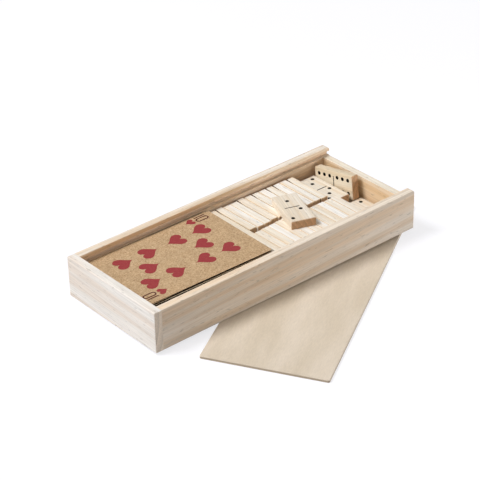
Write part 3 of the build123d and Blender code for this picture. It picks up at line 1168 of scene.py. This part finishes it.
@dataclass
class DominoSet:
    """All twenty-eight dominoes."""

    frame: TrayFrame
    nodes: dict[str, Object]
    bodies: dict[str, Sequence[str]]
    face: float = 2.6  # from the middle of a domino to its face
    pip_radius: float = 1.22
    pip_depth: float = 0.33
    pip_sides: int = 14
    pip_dish: float = 0.6  # how far the middle of a pip sinks, as a share of its depth
    line_length: float = 9.0
    line_width: float = 0.64
    line_flatness: float = 0.1  # the line's height as a share of its width
    line_sides: int = 10

    def pips(self, tree: NodeTree, given: Node) -> NodeSocket:
        """Sets a dished ink spot on each point.

        Args:
            tree: the geometry tree.
            given: its group input.

        Returns:
            The socket of the spots.
        """
        inputs = {"Vertices": given.outputs["Sides"], "Side Segments": 2, "Radius Top": 0.0}
        inputs |= {"Radius Bottom": given.outputs["Radius"], "Depth": given.outputs["Depth"]}
        spot = add(tree, "GeometryNodeMeshCone", inputs, fill_type="TRIANGLE_FAN")
        inputs = {"Geometry": spot.outputs["Mesh"], "Rotation": Euler((math.pi, 0, 0))}
        down = add(tree, "GeometryNodeTransform", inputs)
        # the middle of the upper face sinks, so that each spot is dished
        place = add(tree, "GeometryNodeInputPosition").outputs[0]
        flat = add(tree, "ShaderNodeVectorMath", {0: place, 1: (1, 1, 0)}, operation="MULTIPLY")
        out = add(tree, "ShaderNodeVectorMath", {0: flat.outputs[0]}, operation="LENGTH")
        height = add(tree, "ShaderNodeSeparateXYZ", {"Vector": place})
        near, top, sink, wanted = (
            add(tree, "ShaderNodeMath", {0: value, 1: other}, operation=how).outputs[0]
            for value, other, how in (
                (out.outputs["Value"], 0.01 * MM, "LESS_THAN"),
                (height.outputs["Z"], -0.05 * MM, "GREATER_THAN"),
                (given.outputs["Depth"], -self.pip_dish, "MULTIPLY"),
                (given.outputs["Pips"], 0.5, "GREATER_THAN"),
            )
        )
        chosen = add(tree, "ShaderNodeMath", {0: near, 1: top}, operation="MULTIPLY").outputs[0]
        sunk = add(tree, "ShaderNodeCombineXYZ", {"Z": sink}).outputs[0]
        inputs = {"Geometry": down.outputs["Geometry"], "Selection": chosen, "Offset": sunk}
        dished = add(tree, "GeometryNodeSetPosition", inputs).outputs["Geometry"]
        inputs = {"Points": given.outputs["Geometry"], "Instance": dished, "Selection": wanted}
        return add(tree, "GeometryNodeInstanceOnPoints", inputs).outputs["Instances"]

    def line(self, tree: NodeTree, given: Node) -> NodeSocket:
        """Lays a flattened rod of ink in the groove across the middle.

        Args:
            tree: the geometry tree.
            given: its group input.

        Returns:
            The socket of the rod.
        """
        length, width = given.outputs["Line Length"], given.outputs["Line Width"]
        back, front, thin = (
            add(tree, "ShaderNodeMath", {0: whole, 1: share}, operation="MULTIPLY").outputs[0]
            for whole, share in ((length, -0.5), (length, 0.5), (width, 0.5))
        )
        start, end = (add(tree, "ShaderNodeCombineXYZ", {"X": x}).outputs[0] for x in (back, front))
        path = add(tree, "GeometryNodeCurvePrimitiveLine", {"Start": start, "End": end})
        inputs = {"Resolution": self.line_sides, "Radius": thin}
        nib = add(tree, "GeometryNodeCurvePrimitiveCircle", inputs)
        inputs = {"Curve": path.outputs["Curve"], "Profile Curve": nib.outputs["Curve"]}
        rod = add(tree, "GeometryNodeCurveToMesh", {**inputs, "Fill Caps": True})
        rise = add(tree, "ShaderNodeCombineXYZ", {"Z": given.outputs["Face Height"]}).outputs[0]
        inputs = {"Geometry": rod.outputs["Mesh"], "Translation": rise}
        inputs["Scale"] = (1, 1, self.line_flatness)
        return add(tree, "GeometryNodeTransform", inputs).outputs["Geometry"]

    def print_tree(self, ink: Material) -> NodeTree:
        """A tree that sets a dished ink spot on each point, and a line across the middle.

        Args:
            ink: the material of both.

        Returns:
            The geometry tree.
        """
        lengths = ("Radius", "Depth", "Line Length", "Line Width", "Face Height")
        inputs = {name: ("NodeSocketFloat", MM) for name in lengths}
        inputs |= {"Sides": ("NodeSocketInt", self.pip_sides), "Pips": ("NodeSocketFloat", 1.0)}
        tree, given = new_tree("pips_and_line", inputs)
        both = add(tree, "GeometryNodeJoinGeometry", {"Geometry": self.pips(tree, given)})
        tree.links.new(self.line(tree, given), both.inputs["Geometry"])
        finish_tree(tree, both.outputs["Geometry"], ink)
        return tree

    def build(self) -> list[Object]:
        """Dresses and prints every domino.

        Returns:
            The pieces of print, one for each domino.
        """
        ink = PrintedInk(
            "black_ink_on_pine", "0C0805", "19120D", spot=0.6, rough=0.8, gloss=0.05
        ).make()
        tree = self.print_tree(ink)
        values = {
            "Radius": self.pip_radius * MM,
            "Depth": self.pip_depth * MM,
            "Sides": self.pip_sides,
            "Line Length": self.line_length * MM,
            "Line Width": self.line_width * MM,
            "Face Height": self.face * MM,
        }
        body_of = {node: body for body, members in self.bodies.items() for node in members}
        names = sorted(n for n in self.nodes if n.startswith("domino_"))
        pieces = []
        for number, name in enumerate(names):
            far, near = (int(part) for part in name.split("_")[1:])
            seat = SEATS.get(name, Seat.ON_EDGE)
            domino = Domino(self.frame, self.nodes[name], body_of[name], far, near, seat, number)
            domino.dress()
            pieces.append(domino.print_face(tree, values))
        return pieces


# --- the studio -------------------------------------------------------------------------------


@dataclass(frozen=True)
class Lamp:
    """A round softbox that points at the middle of the floor."""

    name: str
    at_m: tuple[float, float, float]
    size_m: float
    watts: float

    def hang(self) -> None:
        """Makes the lamp and links it to the scene."""
        data = bpy.data.lights.new(self.name, "AREA")
        data.shape = "DISK"
        data.size = self.size_m
        data.energy = self.watts
        place = Vector(self.at_m)
        aim = (-place).to_track_quat("-Z", "Y").to_matrix().to_4x4()
        stand(self.name, data).matrix_world = Matrix.Translation(place) @ aim


@dataclass
class Studio:
    """A pale floor, soft lamps and the camera."""

    frame: TrayFrame
    image_width: int = 480
    focal_pixels: float = 1824.9
    sensor: float = 36.0
    camera_at: tuple[float, float, float] = (-572.3, -678.9, 550.0)  # in the tray's millimetres
    camera_forward: tuple[float, float, float] = (0.5493, 0.6566, -0.5168)
    camera_roll: float = -1.375
    sky_colour: str = "FFFBF5"
    sky_strength: float = 0.3
    lamps: tuple[Lamp, ...] = (
        Lamp("key", (-1.10, 0.55, 1.83), 0.75, 35.0),
        Lamp("side", (-1.98, 0.22, 0.92), 1.2, 10.5),
        Lamp("front", (0.34, -0.26, 0.065), 0.12, 0.8),
    )
    floor_half_m: float = 3.0
    floor_colour: str = "C6C6CA"
    floor_seen: str = "95959A"
    floor_glow: float = 0.735
    glow_colour: str = "FDFDFF"

    def build_camera(self) -> None:
        """Makes the camera and gives it to the scene."""
        forward = Vector(self.camera_forward).normalized()
        level = forward.cross(Vector((0, 0, 1))).normalized()
        turn = Matrix((level, level.cross(forward), -forward)).transposed().to_4x4()
        turn = turn @ spin(z=self.camera_roll)
        data = bpy.data.cameras.new("camera")
        data.sensor_width = self.sensor
        data.lens = self.sensor * self.focal_pixels / self.image_width
        data.clip_start, data.clip_end = 0.01, 20
        camera = stand("camera", data)
        camera.matrix_world = self.frame.turned(turn, self.frame.point(*self.camera_at))
        bpy.context.scene.camera = camera

    def seen_rays(self, tree: NodeTree) -> NodeSocket:
        """Marks the rays that show the backdrop to the eye, straight, in a gloss or through glass.

        Args:
            tree: the tree of the floor or the world.

        Returns:
            A socket that is 1 for those rays and 0 for the rays that carry light.
        """
        rays = add(tree, "ShaderNodeLightPath").outputs
        seen = rays["Is Camera Ray"]
        for way in ("Is Glossy Ray", "Is Transmission Ray"):
            seen = add(tree, "ShaderNodeMath", {0: seen, 1: rays[way]}, operation="MAXIMUM")
            seen = seen.outputs[0]
        return seen

    def build_floor(self) -> None:
        """Makes the floor: white to the eye, and it keeps the shadow."""
        half = self.floor_half_m
        ends = [(-half, -half, 0), (half, -half, 0), (half, half, 0), (-half, half, 0)]
        mesh = point_mesh("floor", ends, faces=[(0, 1, 2, 3)])
        floor = stand("floor", mesh)
        material = bpy.data.materials.new("painted_studio_floor")
        tree = bare_tree(material)
        seen = self.seen_rays(tree)
        glow = add(tree, "ShaderNodeMath", {0: seen, 1: self.floor_glow}, operation="MULTIPLY")
        inputs = {"Factor": seen, 6: linear(self.floor_colour), 7: linear(self.floor_seen)}
        shown = add(tree, "ShaderNodeMix", inputs, data_type="RGBA").outputs[2]
        paint = add(tree, "ShaderNodeBsdfDiffuse", {"Color": shown})
        inputs = {"Color": linear(self.glow_colour), "Strength": glow.outputs[0]}
        light = add(tree, "ShaderNodeEmission", inputs)
        both = add(tree, "ShaderNodeAddShader", {0: paint.outputs[0], 1: light.outputs[0]})
        add(tree, "ShaderNodeOutputMaterial", {"Surface": both.outputs[0]})
        mesh.materials.append(material)

    def build_light(self) -> None:
        """Makes the even sky, two large soft lamps at the left and a small one in front."""
        world = bpy.data.worlds.new("studio")
        bpy.context.scene.world = world
        tree = bare_tree(world)
        seen = self.seen_rays(tree)
        inputs = {"Value": seen, "To Min": self.sky_strength, "To Max": 1.0}
        strength = add(tree, "ShaderNodeMapRange", inputs).outputs["Result"]
        inputs = {"Factor": seen, 6: linear(self.sky_colour), 7: linear(WHITE)}
        tint = add(tree, "ShaderNodeMix", inputs, data_type="RGBA").outputs[2]
        sky = add(tree, "ShaderNodeBackground", {"Color": tint, "Strength": strength})
        add(tree, "ShaderNodeOutputWorld", {"Surface": sky.outputs[0]})
        for lamp in self.lamps:
            lamp.hang()

    def build(self) -> None:
        """Makes the camera, the floor and the lamps."""
        bpy.context.scene.view_settings.view_transform = "Standard"
        self.build_camera()
        self.build_floor()
        self.build_light()


def main() -> None:
    """Builds every part in order and reports each."""
    logging.basicConfig(level=logging.INFO, format="%(name)s: %(message)s")
    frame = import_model()
    nodes, bodies = frame["nodes"], frame["record"]["behaviour"]["bodies"]
    tray_frame = TrayFrame.from_model(frame)
    Studio(tray_frame).build()
    log.info("studio ready")
    tray = Tray(tray_frame, nodes)
    tray.dress()
    log.info("tray dressed: %d boards and the bottom", len(tray.boards))
    slide = next(j for j in frame["joints"] if j["child"] == "lid")
    Lid(nodes, slide["axis"]).dress()
    log.info("lid dressed")
    for piece in Cards(tray_frame, nodes).build():
        log.info("card print: %s", piece.name)
    for piece in DominoSet(tray_frame, nodes, bodies).build():
        log.info("domino print: %s", piece.name)


if __name__ == "__main__":
    main()
